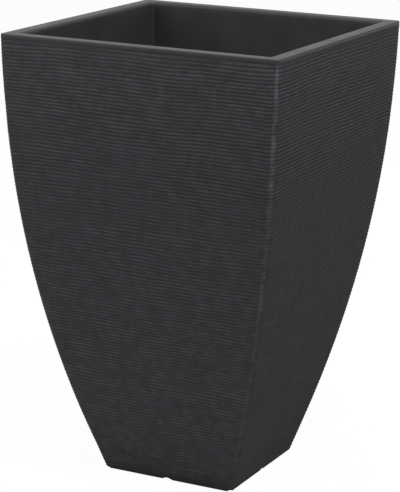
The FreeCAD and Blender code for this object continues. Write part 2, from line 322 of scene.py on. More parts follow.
@dataclass(frozen=True)
class PotSide:
    """A side of the pot in upright section: one circular arc, upright at its top.

    Args:
        upright_level: the height at which the arc is upright.
        top_width: width between opposite sides where they are upright.
        base_width: width between opposite sides on the ground.
    """

    upright_level: float
    top_width: float = TOP_WIDTH
    base_width: float = BASE_WIDTH

    @property
    def arc(self) -> float:
        """Radius of the arc."""
        run = self.top_width - self.base_width
        return (run**2 / 4 + self.upright_level**2) / run

    def turn(self, level: float, inset: float = 0.0) -> float:
        """Angle on the arc at a level, ``inset`` inside the face."""
        return math.asin(min(0.0, level - self.upright_level) / (self.arc - inset))

    def ring(self, level: float, inset: float = 0.0) -> Ring:
        """The loop at a level, ``inset`` inside the face."""
        along = (self.arc - inset) * math.cos(self.turn(level, inset))
        return Ring(along - self.arc + self.top_width / 2, level)

    def at(self, turn: float, inset: float = 0.0) -> Ring:
        """The loop at an angle on the arc.

        Args:
            turn: the angle, 0 where the side is upright.
            inset: how far inside the face the loop lies.

        Returns:
            The loop.
        """
        radius = self.arc - inset
        half = radius * math.cos(turn) - self.arc + self.top_width / 2
        return Ring(half, self.upright_level + radius * math.sin(turn))

    def descent(self, start: float, end: float, inset: float, steps: int) -> list[Ring]:
        """Loops down a side, from one level to the last one before another.

        Args:
            start: the first loop's height.
            end: the height at which the next loop would follow.
            inset: how far the side lies inside the pot's face.
            steps: how many loops there are.

        Returns:
            The loops from the top down.
        """
        return [self.ring(start + (end - start) * step / steps, inset) for step in range(steps)]

    def floor_round(self, floor: float, inset: float, radius: float, steps: int) -> list[Ring]:
        """Loops of the round between a side and a floor, from the side down.

        Args:
            floor: the floor's height.
            inset: how far the side lies inside the pot's face.
            radius: the round's radius.
            steps: how many steps make the round.

        Returns:
            The loops from the side to the floor.
        """
        middle = self.ring(floor + radius, inset + radius)
        turn = self.turn(middle.level, inset + radius)
        angles = [turn + (-QUARTER - turn) * step / steps for step in range(steps + 1)]
        return [Ring(middle.half + radius * math.cos(angle),
                     middle.level + radius * math.sin(angle)) for angle in angles]


@dataclass(frozen=True)
class Wave:
    """Smooth noise over the wall.

    Args:
        across: how far its swells reach along the wall.
        up: how far they reach up it.
        seed: where in the noise they start.
    """

    across: float
    up: float
    seed: float

    def at(self, point: Vector) -> float:
        """The noise at a point, from -1 to 1."""
        return noise.noise(Vector((point.x / self.across + self.seed,
                                   point.y / self.across - self.seed,
                                   point.z / self.up + self.seed)))


@dataclass(frozen=True)
class RibPattern:
    """Nearly level ribs that wander, swell and fade along the wall, as if combed by hand.

    Args:
        count: ribs from the foot to the shoulder.
        section_shares: one rib's section, row by row, from 0 in the groove to 1 on the crest.
        depth: a groove's full depth.
        wear: how much lighter the crests are painted, high and low on the wall: a painted
            highlight.
        soil: how much darker the grooves are painted, high and low on the wall: painted shade.
        low_levels: the heights between which that painted highlight and shade change over.
        top_wear: painted light that is added all over near the top.
        top_levels: the heights between which it sets in.
        wander: the ribs' slow straying.
        ripple: their quick straying.
        wander_share: how far they stray slowly, as a share of the pitch.
        ripple_share: how far they stray quickly.
        patches: where groups of ribs are deeper or shallower.
        streak_reach: how far one rib keeps its strength.
        streak_step: how far apart in the noise two ribs are.
        mean_strength: an average rib's share of the full depth.
        least_strength: the weakest rib's share.
        patch_share: how much a patch adds or takes.
        streak_share: how much a rib's own streaks add or take.
        fading: where the ribs die out below the rim.
        top_fade: how far below the rim they may die out.
        least_fade: how far they die out everywhere.
        fade_mean: the average share of that reach.
        fade_swing: how much the patches change it.
        fade_power: how steeply they die out.
        corner_fade: the share of that reach at an upright corner.
        corner_ease: how fast it grows away from the corner.
        end_fade: how far from both ends of the wall the straying sets in.
        foot_fade: how far above the foot the ribs reach full depth.
    """

    count: int = 128
    section_shares: tuple[float, ...] = (1.0, 0.93, 0.75, 0.45, 0.0, 0.40)
    depth: float = 0.00096
    # These two pairs paint a highlight on the crests and shade in the grooves, high and low on the
    # wall.
    wear: tuple[float, float] = (0.45, 1.2)
    soil: tuple[float, float] = (0.20, 2.0)
    low_levels: tuple[float, float] = (0.55, 0.22)
    # Painted light added near the top, where light from above catches the wall more.
    top_wear: float = 0.35
    top_levels: tuple[float, float] = (0.40, 0.60)
    wander: Wave = Wave(0.170, 0.110, 3.1)
    ripple: Wave = Wave(0.055, 0.026, 17.7)
    wander_share: float = 0.70
    ripple_share: float = 0.28
    patches: Wave = Wave(0.085, 0.040, 41.3)
    streak_reach: float = 0.075
    streak_step: float = 0.73
    mean_strength: float = 0.75
    least_strength: float = 0.12
    patch_share: float = 0.22
    streak_share: float = 0.46
    fading: Wave = Wave(0.08, 1.0, 8.9)
    top_fade: float = 0.013
    least_fade: float = 0.0025
    fade_mean: float = 0.5
    fade_swing: float = 0.9
    fade_power: float = 1.5
    corner_fade: float = 0.3
    corner_ease: float = 6.0
    end_fade: float = 0.010
    foot_fade: float = 0.004

    @property
    def rows(self) -> int:
        """Rows of faces over the whole wall."""
        return self.count * len(self.section_shares)

    def rub(self, height: float, level: float) -> float:
        """The painted light and shade on a rib, lighter above 0 and darker below 0: a highlight on
        the crest and shade in the groove, stronger lower down where the wall draws in, with light
        added near the top.

        Args:
            height: the place on the rib's section, from 0 in the groove to 1 on the crest.
            level: the height above the ground.

        Returns:
            The mask's value for a rib of full strength.
        """
        low = self._ramp(level, *self.low_levels)
        crest_wear = self.wear[0] + (self.wear[1] - self.wear[0]) * low
        groove_soil = self.soil[0] + (self.soil[1] - self.soil[0]) * low
        top_wear = self.top_wear * self._ramp(level, *self.top_levels)
        # Painted highlight on the crest, painted shade in the groove, painted light near the top.
        return height * crest_wear - (1.0 - height) * groove_soil + top_wear

    @staticmethod
    def _ramp(level: float, start: float, end: float) -> float:
        """How far a height is from one level, 0, to another, 1."""
        return clamped((level - start) / (end - start))

    def drift(self, point: Vector) -> float:
        """How far a rib strays up the wall at a point, as a share of the pitch."""
        return self.wander_share * self.wander.at(point) + self.ripple_share * self.ripple.at(point)

    def strength(self, point: Vector, row: int) -> float:
        """How deep a rib is at a point, from 0 to 1.

        Args:
            point: a place on the wall.
            row: the row of the wall that the point belongs to.

        Returns:
            The share of the full depth.
        """
        rib = row // len(self.section_shares)
        along = Vector((point.x / self.streak_reach, point.y / self.streak_reach,
                        rib * self.streak_step))
        share = (self.mean_strength + self.patch_share * self.patches.at(point)
                 + self.streak_share * noise.noise(along))
        return min(1.0, max(self.least_strength, share))

    def top_share(self, point: Vector, below_top: float) -> float:
        """How much of a rib is left near the rim, where ribs die out in patches off the corners.

        Args:
            point: a place on the wall.
            below_top: how far it lies below the wall's top edge, along the wall.

        Returns:
            The share of the rib's strength.
        """
        near, far = sorted((abs(point.x), abs(point.y)))
        patch = self.fade_mean + self.fade_swing * self.fading.at(point)
        off_corner = min(1.0, self.corner_fade + self.corner_ease * (1.0 - near / far))
        reach = max(self.least_fade, self.top_fade * patch * off_corner)
        return min(1.0, below_top / reach) ** self.fade_power


class NodeBoard:
    """A shader node tree that is filled node by node."""

    def __init__(self, tree: bpy.types.NodeTree) -> None:
        """Start on an empty tree."""
        self.tree = tree
        tree.nodes.clear()

    def add(self, kind: str, sockets: dict[str | int, object] | None = None,
            **settings: object) -> bpy.types.Node:
        """Add a node.

        Args:
            kind: the node's type.
            sockets: what each input takes, by name or place: a value, or another node's output.
            settings: the node's own settings.

        Returns:
            The new node.
        """
        node = self.tree.nodes.new(kind)
        for name, value in settings.items():
            setattr(node, name, value)
        for name, value in (sockets or {}).items():
            if isinstance(value, bpy.types.NodeSocket):
                self.tree.links.new(value, node.inputs[name])
            else:
                node.inputs[name].default_value = value
        return node

    def sum(self, kind: Sum, first: object, second: object) -> bpy.types.NodeSocket:
        """Work out a sum of two values, and return its output."""
        values = dict(enumerate((first, second)))
        return self.add("ShaderNodeMath", values, operation=kind.value).outputs["Value"]

    def weigh(self, first: object, first_share: float, second: object,
              second_share: float) -> bpy.types.NodeSocket:
        """Add two values in given shares.

        Args:
            first: one value.
            first_share: its share.
            second: the other value.
            second_share: its share.

        Returns:
            The output with the result.
        """
        return self.sum(Sum.PLUS, self.sum(Sum.TIMES, first, first_share),
                        self.sum(Sum.TIMES, second, second_share))

    def remap(self, value: bpy.types.NodeSocket, source: tuple[float, float],
              target: tuple[float, float] = (0.0, 1.0)) -> bpy.types.NodeSocket:
        """Map a value smoothly from one range to another.

        Args:
            value: the output that gives the value.
            source: the range that it comes from.
            target: the range that it goes to.

        Returns:
            The output with the result.
        """
        return self.add("ShaderNodeMapRange", {
            "Value": value, "From Min": source[0], "From Max": source[1],
            "To Min": target[0], "To Max": target[1],
        }, interpolation_type="SMOOTHSTEP").outputs["Result"]

    def clouds(self, place: object, scale: object, detail: float,
               roughness: float) -> bpy.types.NodeSocket:
        """Add cloudy noise.

        Args:
            place: the output that gives the place on the surface.
            scale: how many clouds fit in a metre.
            detail: how many finer layers lie over them.
            roughness: how strong those are.

        Returns:
            The output with the noise.
        """
        return self.add("ShaderNodeTexNoise", {
            "Vector": place, "Scale": scale, "Detail": detail, "Roughness": roughness,
        }).outputs["Fac"]

    def blend(self, share: object, first: object, second: object) -> bpy.types.NodeSocket:
        """Mix two colours.

        Args:
            share: how much of the second colour there is.
            first: one colour.
            second: the other colour.

        Returns:
            The output with the mixed colour.
        """
        return self.add("ShaderNodeMix", {
            ColourMix.SHARE: share, ColourMix.FIRST: first, ColourMix.SECOND: second,
        }, data_type="RGBA").outputs[ColourMix.RESULT]


class SharedEffects:
    """Node groups that more than one finish uses, each built once."""

    SPECKS_PER_PEBBLE = 1.7
    PEBBLE_HEIGHT, SPECK_HEIGHT = 0.6, 0.4
    CLOUD_TONE, SPECK_TONE = 0.7, 0.3
    GLOSS_CLOUDS = (0.3, 0.7)
    # How patches break up the lightening from a mask: painted highlight and light on the shell and
    # the liner, wear on the plugs.
    WORN_PATCHES, WORN_SHARES = (0.36, 0.66), (0.15, 1.0)

    def __init__(self) -> None:
        """Build the groups."""
        self.grain = self._moulded_grain()
        # Lightening from a mask: painted highlight and light on the shell and the liner, wear on
        # the plugs.
        self.wear = self._rubbed_edges()

    @staticmethod
    def _group(name: str, inputs: dict[str, str], outputs: Iterable[str]) -> bpy.types.NodeTree:
        """Make an empty node group with named sockets.

        Args:
            name: the group's name.
            inputs: the kind of each named input.
            outputs: the names of its outputs, which are plain numbers.

        Returns:
            The new group.
        """
        group = bpy.data.node_groups.new(name, "ShaderNodeTree")
        for label, kind in inputs.items():
            group.interface.new_socket(label, in_out="INPUT", socket_type=kind)
        for label in outputs:
            group.interface.new_socket(label, in_out="OUTPUT", socket_type="NodeSocketFloat")
        return group

    def _moulded_grain(self) -> bpy.types.NodeTree:
        """Build fine moulded grain: a pebbled height, cloudy tone and uneven gloss.

        Returns:
            The group.
        """
        group = self._group("moulded_grain", {
            "Place": "NodeSocketVector", "Pebbles": "NodeSocketFloat", "Clouds": "NodeSocketFloat",
        }, ("Height", "Tone", "Gloss"))
        board = NodeBoard(group)
        given = board.add("NodeGroupInput").outputs
        pebbles = board.add("ShaderNodeTexVoronoi", {
            "Vector": given["Place"], "Scale": given["Pebbles"],
        }, feature="SMOOTH_F1").outputs["Distance"]
        speck_scale = board.sum(Sum.TIMES, given["Pebbles"], self.SPECKS_PER_PEBBLE)
        specks = board.clouds(given["Place"], speck_scale, detail=3.0, roughness=0.6)
        clouds = board.clouds(given["Place"], given["Clouds"], detail=4.0, roughness=0.55)
        board.add("NodeGroupOutput", {
            "Height": board.weigh(pebbles, self.PEBBLE_HEIGHT, specks, self.SPECK_HEIGHT),
            "Tone": board.weigh(clouds, self.CLOUD_TONE, specks, self.SPECK_TONE),
            "Gloss": board.remap(clouds, self.GLOSS_CLOUDS),
        })
        return group

    def _rubbed_edges(self) -> bpy.types.NodeTree:
        """Build a lightening that takes hold where a mask is high, broken up by patches: painted
        highlight and light on the shell and the liner, wear on the plugs.

        Returns:
            The group.
        """
        group = self._group("rubbed_edges", {
            "Place": "NodeSocketVector", "Mask": "NodeSocketFloat", "Patches": "NodeSocketFloat",
            "Amount": "NodeSocketFloat",
        }, ("Wear",))
        board = NodeBoard(group)
        given = board.add("NodeGroupInput").outputs
        patches = board.clouds(given["Place"], given["Patches"], detail=5.0, roughness=0.62)
        broken = board.remap(patches, self.WORN_PATCHES, self.WORN_SHARES)
        worn = board.sum(Sum.TIMES, given["Mask"], broken)
        board.add("NodeGroupOutput", {"Wear": board.sum(Sum.TIMES, worn, given["Amount"])})
        return group


@dataclass(frozen=True)
class MouldedFinish:
    """A matte moulded surface with fine grain, cloudy tone, and a colour that a mask lightens and
    darkens.

    Args:
        name: the material's name.
        dark: the colour of its darkest clouds.
        light: the colour of its lightest clouds.
        rubbed: the colour where its mask is above 0: painted highlight on the shell, painted light
            on the liner's rim top, wear on the plugs.
        soiled: the colour where the mask is below 0: painted shade in the shell's grooves.
        roughness: roughness from its glossiest to its dullest patches.
        specular: the shader's specular level.
        pebbles: how many grains fit in a metre.
        clouds: how many clouds fit in a metre.
        grain_depth: depth of the grain's relief.
        wear_mask: the mesh attribute that says where its colour is lighter and darker.
        wear: how far the lightening goes: painted highlight and light on the shell and the liner,
            wear on the plugs.
        patches_per_cloud: how many patches of that lightening fit in a cloud.
        tones: the tones of the darkest and the lightest clouds.
    """

    name: str
    dark: tuple[float, float, float]
    light: tuple[float, float, float]
    # The colours that a mask above 0 and below 0 blends in: painted highlight and shade on the
    # shell, painted light on the liner's rim top, wear on the plugs.
    rubbed: tuple[float, float, float]
    soiled: tuple[float, float, float]
    roughness: tuple[float, float]
    specular: float
    pebbles: float
    clouds: float
    grain_depth: float
    wear_mask: WearMask
    wear: float
    patches_per_cloud: float = 2.0
    tones: tuple[float, float] = (0.36, 0.64)

    def build(self, effects: SharedEffects) -> bpy.types.Material:
        """Make the material.

        Args:
            effects: the shared node groups.

        Returns:
            The new material.
        """
        material = bpy.data.materials.new(self.name)
        material.use_nodes = True
        board = NodeBoard(material.node_tree)
        place = board.add("ShaderNodeTexCoord").outputs["Object"]
        mask = board.add("ShaderNodeAttribute", attribute_name=self.wear_mask.value).outputs["Fac"]
        grain = board.add("ShaderNodeGroup", node_tree=effects.grain, sockets={
            "Place": place, "Pebbles": self.pebbles, "Clouds": self.clouds,
        }).outputs
        wear = board.add("ShaderNodeGroup", node_tree=effects.wear, sockets={
            "Place": place, "Mask": mask, "Patches": self.clouds * self.patches_per_cloud,
            "Amount": self.wear,
        }).outputs["Wear"]
        tone = board.remap(grain["Tone"], self.tones)
        plain = board.blend(tone, (*self.dark, 1), (*self.light, 1))
        # Lighter where the mask is above 0 and darker where it is below 0: painted highlight and
        # shade on the shell's ribs and corners, painted light on the liner's rim top, wear on the
        # plugs.
        worn = board.blend(wear, plain, (*self.rubbed, 1))
        colour = board.blend(board.sum(Sum.TIMES, mask, -1.0), worn, (*self.soiled, 1))
        bump = board.add("ShaderNodeBump", {
            "Height": grain["Height"], "Distance": self.grain_depth, "Strength": 1.0,
        })
        shader = board.add("ShaderNodeBsdfPrincipled", {
            "Base Color": colour, "Normal": bump.outputs["Normal"],
            "Roughness": board.remap(grain["Gloss"], (0.0, 1.0), self.roughness),
            "Specular IOR Level": self.specular,
        })
        board.add("ShaderNodeOutputMaterial", {"Surface": shader.outputs["BSDF"]})
        return material


# Its lighter colour is a painted highlight on the rib crests and corner ridges, its darkest a
# painted shade in the grooves.
SHELL_FINISH = MouldedFinish(
    name="ribbed_anthracite_plastic",
    dark=(0.0267, 0.0262, 0.0292), light=(0.0301, 0.0295, 0.0330),
    rubbed=(0.0660, 0.0655, 0.0712), soiled=(0.0100, 0.0100, 0.0110),
    roughness=(0.62, 0.74), specular=0.02, pebbles=2600.0, clouds=38.0,
    grain_depth=0.00006, wear_mask=WearMask.CREST, wear=0.60,
)
# Its lighter colour is painted light on the rim's top.
LINER_FINISH = MouldedFinish(
    name="smooth_anthracite_plastic",
    dark=(0.0220, 0.0220, 0.0232), light=(0.0270, 0.0270, 0.0285),
    rubbed=(0.0430, 0.0430, 0.0450), soiled=(0.0100, 0.0100, 0.0110),
    roughness=(0.46, 0.58), specular=0.10, pebbles=3200.0, clouds=26.0,
    grain_depth=0.00003, wear_mask=WearMask.EDGE, wear=0.5,
)
PLUG_FINISH = MouldedFinish(
    name="black_drain_rubber",
    dark=(0.0090, 0.0090, 0.0095), light=(0.0150, 0.0150, 0.0155),
    rubbed=(0.0300, 0.0300, 0.0300), soiled=(0.0050, 0.0050, 0.0050),
    roughness=(0.62, 0.80), specular=0.40, pebbles=4200.0, clouds=120.0,
    grain_depth=0.00004, wear_mask=WearMask.EDGE, wear=0.4,
)


def dress(piece: bpy.types.Object, material: bpy.types.Material) -> None:
    """Give a piece one material all over."""
    piece.data.materials.clear()
    piece.data.materials.append(material)


def deliver(piece: bpy.types.Object, nodes: Iterable[str], body: str) -> None:
    """Tie a finished piece to the frame and report it.

    Args:
        piece: the finished object.
        nodes: the CAD nodes that it stands for.
        body: the CAD body that it moves with.
    """
    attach(piece, body)
    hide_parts(*nodes)
    triangles = sum(len(face.vertices) - 2 for face in piece.data.polygons)
    log.info("%s rides on %s with %d triangles", piece.name, body, triangles)


@dataclass
class RibbedShell:
    """The outer moulding: ribbed curved walls, a notched standing foot, a floor and a tongue.

    Args:
        side: the curve of its outer face.
        ribs: the ribs on that face.
        top_level: height of the wall's top edge, the shoulder under the rim.
        tongue_top: height of the tongue that stands in the liner's channel.
        tongue_inset: how far the tongue stands inside the face.
        wall: thickness of the wall.
        floor_top: height of the floor's upper face.
        floor_round: radius between the wall and the floor inside.
        corner_radius: radius of the upright corners at mid height.
        rim_corner_radius: their radius at the rim.
        rim_corner_reach: how far below the rim they change.
        foot_corner_radius: their radius on the ground.
        foot_corner_reach: how far above the ground they change.
        foot_round: radius of the foot's lower edge.
        foot_height: height of the recess under the floor.
        foot_width: width of the standing ring.
        drain_radius: radius of the drain.
        drain_square: half width of the square loop round the drain.
        notch_width: width of a drain notch on the ground.
        notch_height: its height.
        notch_sides: how many flats go round the notches' cutter.
        notch_overrun: the cutter's length as a share of the base's width.
        flat_columns: columns of faces in one wall.
        corner_columns: columns of faces in one corner.
        coarse_rows: rows of faces before the wall is divided into the ribs' rows.
        round_steps: steps in the rounds of the foot and the floor.
        inside_steps: steps down the inside.
        least_climb: what an edge climbs at least if it isn't one of a level loop.
        corner_ease: how fast the ribs soften into a corner.
        corner_softening: the share of the ribs' depth that a corner takes away.
        ridge_start: where a corner's painted highlight begins, as a share of the way round it.
        ridge_reach: how much further it is painted at full strength.
        ridge_wear: the painted highlight's strength on the ground, and how much more there is at
            the rim.
        smooth_angle: edges that turn by more degrees than this stay sharp.
    """

    side: PotSide
    ribs: RibPattern = field(default_factory=RibPattern)
    top_level: float = 0.5953
    tongue_top: float = 0.5965
    tongue_inset: float = 0.0034
    wall: float = 0.006
    floor_top: float = 0.010
    floor_round: float = 0.008
    corner_radius: float = 0.0095
    rim_corner_radius: float = 0.005
    rim_corner_reach: float = 0.085
    foot_corner_radius: float = 0.006
    foot_corner_reach: float = 0.035
    foot_round: float = 0.0045
    foot_height: float = 0.004
    foot_width: float = 0.014
    drain_radius: float = 0.010
    drain_square: float = 0.020
    notch_width: float = 0.016
    notch_height: float = 0.0038
    notch_sides: int = 96
    notch_overrun: float = 1.4
    flat_columns: int = 24
    corner_columns: int = 5
    coarse_rows: int = 32
    round_steps: int = 5
    inside_steps: int = 14
    least_climb: float = 0.001
    corner_ease: float = 2.5
    corner_softening: float = 0.45
    ridge_start: float = 0.31
    ridge_reach: float = 0.27
    # A painted highlight along the middle of each upright corner, stronger towards the rim.
    ridge_wear: tuple[float, float] = (0.6, 1.6)
    smooth_angle: float = 58.0

    @property
    def foot_turn(self) -> float:
        """Angle on the side's arc where the foot's round begins."""
        return self.side.turn(self.foot_round, self.foot_round)

    @property
    def top_turn(self) -> float:
        """Angle on the side's arc at the wall's top edge."""
        return self.side.turn(self.top_level)

    def corner_at(self, level: float) -> float:
        """Radius of the upright corners, which tighten towards the rim and towards the foot.

        Args:
            level: the height above the ground.

        Returns:
            The radius at that height.
        """
        below_rim = clamped((self.top_level - level) / self.rim_corner_reach)
        above_foot = clamped(level / self.foot_corner_reach)
        rim, foot = self.rim_corner_radius, self.foot_corner_radius
        return min(rim + (self.corner_radius - rim) * below_rim,
                   foot + (self.corner_radius - foot) * above_foot)

    def build(self, material: bpy.types.Material) -> bpy.types.Object:
        """Model the shell and dress it.

        Args:
            material: its finish.

        Returns:
            The finished piece.
        """
        shell = self._wrap_sheet()
        self._close_top(shell)
        self._close_foot(shell)
        self._bridge_drain(shell)
        self._divide_wall(shell)
        self._press_ribs(shell)
        self._cut_notches(shell)
        Workbench.settle(shell, self.smooth_angle)
        dress(shell, material)
        return shell

    def _wrap_sheet(self) -> bpy.types.Object:
        """Wrap a flat grid round the pot as its outer wall, and weld its seam.

        Returns:
            The wall, open in edit mode.
        """
        per_side = self.flat_columns + self.corner_columns
        columns = 4 * per_side
        Workbench.clear()
        bpy.ops.mesh.primitive_grid_add(x_subdivisions=columns, y_subdivisions=self.coarse_rows,
                                        size=1.0)
        shell = Workbench.named("ribbed_shell")
        # The grid runs from -0.5 to 0.5 both ways.
        for vertex in shell.data.vertices:
            column = round((vertex.co.x + 0.5) * columns)
            share = vertex.co.y + 0.5
            ring = self.side.at(self.foot_turn + (self.top_turn - self.foot_turn) * share)
            vertex.co = self._on_ring(ring, column % columns, per_side)
        Workbench.edit(shell)
        bpy.ops.mesh.select_all(action="SELECT")
        bpy.ops.mesh.remove_doubles(threshold=SAME_PLACE)
        Workbench.face_outwards()
        return shell

    def _on_ring(self, ring: Ring, column: int, per_side: int) -> Vector:
        """The place of one column of the wall on a loop.

        Args:
            ring: the loop.
            column: the column, counted from the front wall's left end.
            per_side: columns in one wall and the corner after it.

        Returns:
            The point.
        """
        wall, step = divmod(column, per_side)
        radius = self.corner_at(ring.level)
        reach = ring.half - radius
        if step <= self.flat_columns:
            along, out = reach * (2 * step / self.flat_columns - 1), ring.half
        else:
            angle = QUARTER * (step - self.flat_columns) / self.corner_columns
            along = reach + radius * math.sin(angle)
            out = reach + radius * math.cos(angle)
        turn = wall * QUARTER
        return Vector((along * math.cos(turn) + out * math.sin(turn),
                       along * math.sin(turn) - out * math.cos(turn), ring.level))

    def _close_top(self, shell: bpy.types.Object) -> None:
        """Draw the wall's top edge in to the tongue, down the inside and across to the drain.

        Args:
            shell: the object that is open in edit mode.
        """
        Workbench.pick_edges(shell, lambda a, b: min(a.z, b.z) > self.top_level - SAME_LEVEL)
        tongue = self.side.top_width / 2 - self.tongue_inset
        rounds = self.side.floor_round(self.floor_top, self.wall, self.floor_round,
                                       self.round_steps)
        inside = self.side.descent(self.tongue_top, rounds[0].level, self.wall, self.inside_steps)
        Workbench.sweep(self.side.ring(self.top_level), [
            Ring(tongue, self.top_level), Ring(tongue, self.tongue_top), *inside, *rounds,
            Ring(self.drain_square, self.floor_top),
        ])
        self._round_drain(shell, self.floor_top)

    def _close_foot(self, shell: bpy.types.Object) -> None:
        """Draw the wall's low edge round the foot, up into the recess and across to the drain.

        Args:
            shell: the object that is open in edit mode.
        """
        start = self.side.at(self.foot_turn)
        Workbench.pick_edges(shell, lambda a, b: (
            max(abs(a.z - start.level), abs(b.z - start.level)) < SAME_LEVEL
            and max(abs(a.x), abs(a.y)) > start.half - SAME_REACH))
        rounds = self.side.floor_round(0.0, 0.0, self.foot_round, self.round_steps)[1:]
        recess = self.side.base_width / 2 - self.foot_width
        Workbench.sweep(start, [
            *rounds, Ring(recess, 0.0), Ring(recess, self.foot_height),
            Ring(self.drain_square, self.foot_height),
        ])
        self._round_drain(shell, self.foot_height)

    def _round_drain(self, shell: bpy.types.Object, level: float) -> None:
        """Extrude the selected square loop once more, and make the new loop round.

        Args:
            shell: the object that is open in edit mode.
            level: the loop's height.
        """
        square = Ring(self.drain_square, level)
        Workbench.sweep(square, [square])
        shape = bmesh.from_edit_mesh(shell.data)
        for vertex in shape.verts:
            if vertex.select:
                flat = vertex.co.xy.normalized() * self.drain_radius
                vertex.co = Vector((flat.x, flat.y, level))
        bmesh.update_edit_mesh(shell.data)

    def _bridge_drain(self, shell: bpy.types.Object) -> None:
        """Join the drain's upper and lower loops into its bore.

        Args:
            shell: the object that is open in edit mode.
        """
        reach = self.drain_radius + SAME_REACH
        Workbench.pick_edges(shell, lambda a, b: (
            max(a.xy.length, b.xy.length) < reach and abs(a.z - b.z) < SAME_PLACE))
        bpy.ops.mesh.bridge_edge_loops()
        Workbench.face_outwards()

    def _on_wall(self, point: Vector) -> bool:
        """Whether a point lies on the outer face between the foot's round and the shoulder.

        Args:
            point: a place on the shell.

        Returns:
            True on the ribbed face.
        """
        low = self.side.at(self.foot_turn).level
        if not low - SAME_LEVEL <= point.z <= self.top_level + SAME_LEVEL:
            return False
        return max(abs(point.x), abs(point.y)) >= self.side.ring(point.z).half - self.wall / 2

    def _divide_wall(self, shell: bpy.types.Object) -> None:
        """Divide the outer wall into the ribs' rows, and leave edit mode.

        Args:
            shell: the object that is open in edit mode.
        """
        Workbench.pick_edges(shell, lambda a, b: (
            abs(a.z - b.z) > self.least_climb and self._on_wall(a) and self._on_wall(b)))
        bpy.ops.mesh.subdivide(number_cuts=self.ribs.rows // self.coarse_rows - 1)
        bpy.ops.object.mode_set(mode="OBJECT")

    def _press_ribs(self, shell: bpy.types.Object) -> None:
        """Lay the wall's points on the arc, press the ribs' grooves into it and mark where painted
        highlight and shade go.

        Args:
            shell: the shell with its wall divided.
        """
        ribs = self.ribs
        length = self.side.arc * (self.top_turn - self.foot_turn)
        row_height = length / ribs.rows
        pitch = length / ribs.count
        # This mask carries a painted highlight on the crests and corner ridges and painted shade in
        # the grooves.
        crest = Workbench.mask(shell, WearMask.CREST)
        for vertex in shell.data.vertices:
            point = vertex.co.copy()
            if not self._on_wall(point):
                continue
            climbed = self.side.arc * (self.side.turn(point.z) - self.foot_turn)
            row = round(climbed / row_height)
            above_foot = row * row_height
            below_top = max(0.0, length - above_foot)
            end_share = min(1.0, min(above_foot, below_top) / ribs.end_fade)
            stray = ribs.drift(point) * pitch * end_share
            turn = self.foot_turn + (above_foot + stray) / self.side.arc
            height = ribs.section_shares[row % len(ribs.section_shares)]
            past_flat = self._past_flat(point)
            strength = ribs.strength(point, row) * ribs.top_share(point, below_top)
            strength *= min(1.0, above_foot / ribs.foot_fade)
            strength *= 1.0 - self.corner_softening * clamped(self.corner_ease * past_flat)
            vertex.co = self._pressed(point, turn, ribs.depth * strength * (1.0 - height))
            # Painted highlight along the middle of each upright corner, stronger towards the rim.
            on_ridge = clamped((past_flat - self.ridge_start) / self.ridge_reach)
            ridge_wear = self.ridge_wear[0] + self.ridge_wear[1] * (point.z / self.top_level) ** 2
            crest.data[vertex.index].value = max(strength * ribs.rub(height, point.z),
                                                 on_ridge * ridge_wear)

    def _past_flat(self, point: Vector) -> float:
        """How far round an upright corner a point of the wall is.

        Args:
            point: a place on the wall.

        Returns:
            How far it lies past the end of the wall's flat, as a share of the corner's radius.
        """
        radius = self.corner_at(point.z)
        flat_end = self.side.ring(point.z).half - radius
        return (min(abs(point.x), abs(point.y)) - flat_end) / radius

    def _pressed(self, point: Vector, turn: float, inset: float) -> Vector:
        """Move a point of the wall along it and into it.

        Args:
            point: where it is.
            turn: the angle on the side's arc that it moves to.
            inset: how far it goes into the wall.

        Returns:
            Where it goes.
        """
        outer, ring = self.side.at(turn), self.side.at(turn, inset)
        reach = self.side.ring(point.z).half - self.corner_at(point.z)
        radius = self.corner_at(outer.level)
        new_reach = outer.half - radius
        sink = outer.half - ring.half
        flat = []
        over = [max(0.0, abs(point.x) - reach), max(0.0, abs(point.y) - reach)]
        total = math.hypot(*over)
        for value, extra in zip((point.x, point.y), over):
            if extra > 0:
                sign = math.copysign(1.0, value)
                flat.append(sign * (new_reach + (radius - sink) * extra / total))
            else:
                flat.append(value * new_reach / reach)
        return Vector((*flat, ring.level))

    def _cut_notches(self, shell: bpy.types.Object) -> None:
        """Cut a low round-topped drain notch in the middle of each side of the foot.

        Args:
            shell: the ribbed shell.
        """
        radius = (self.notch_width**2 / 4 + self.notch_height**2) / (2 * self.notch_height)
        for turn in (0.0, QUARTER):
            cutter = Workbench.rod(
                "notch_cutter", self.notch_sides, radius, self.notch_overrun * self.side.base_width,
                (0, 0, self.notch_height - radius), (QUARTER, 0, turn))
            Workbench.combine(shell, cutter, Joining.CUT)


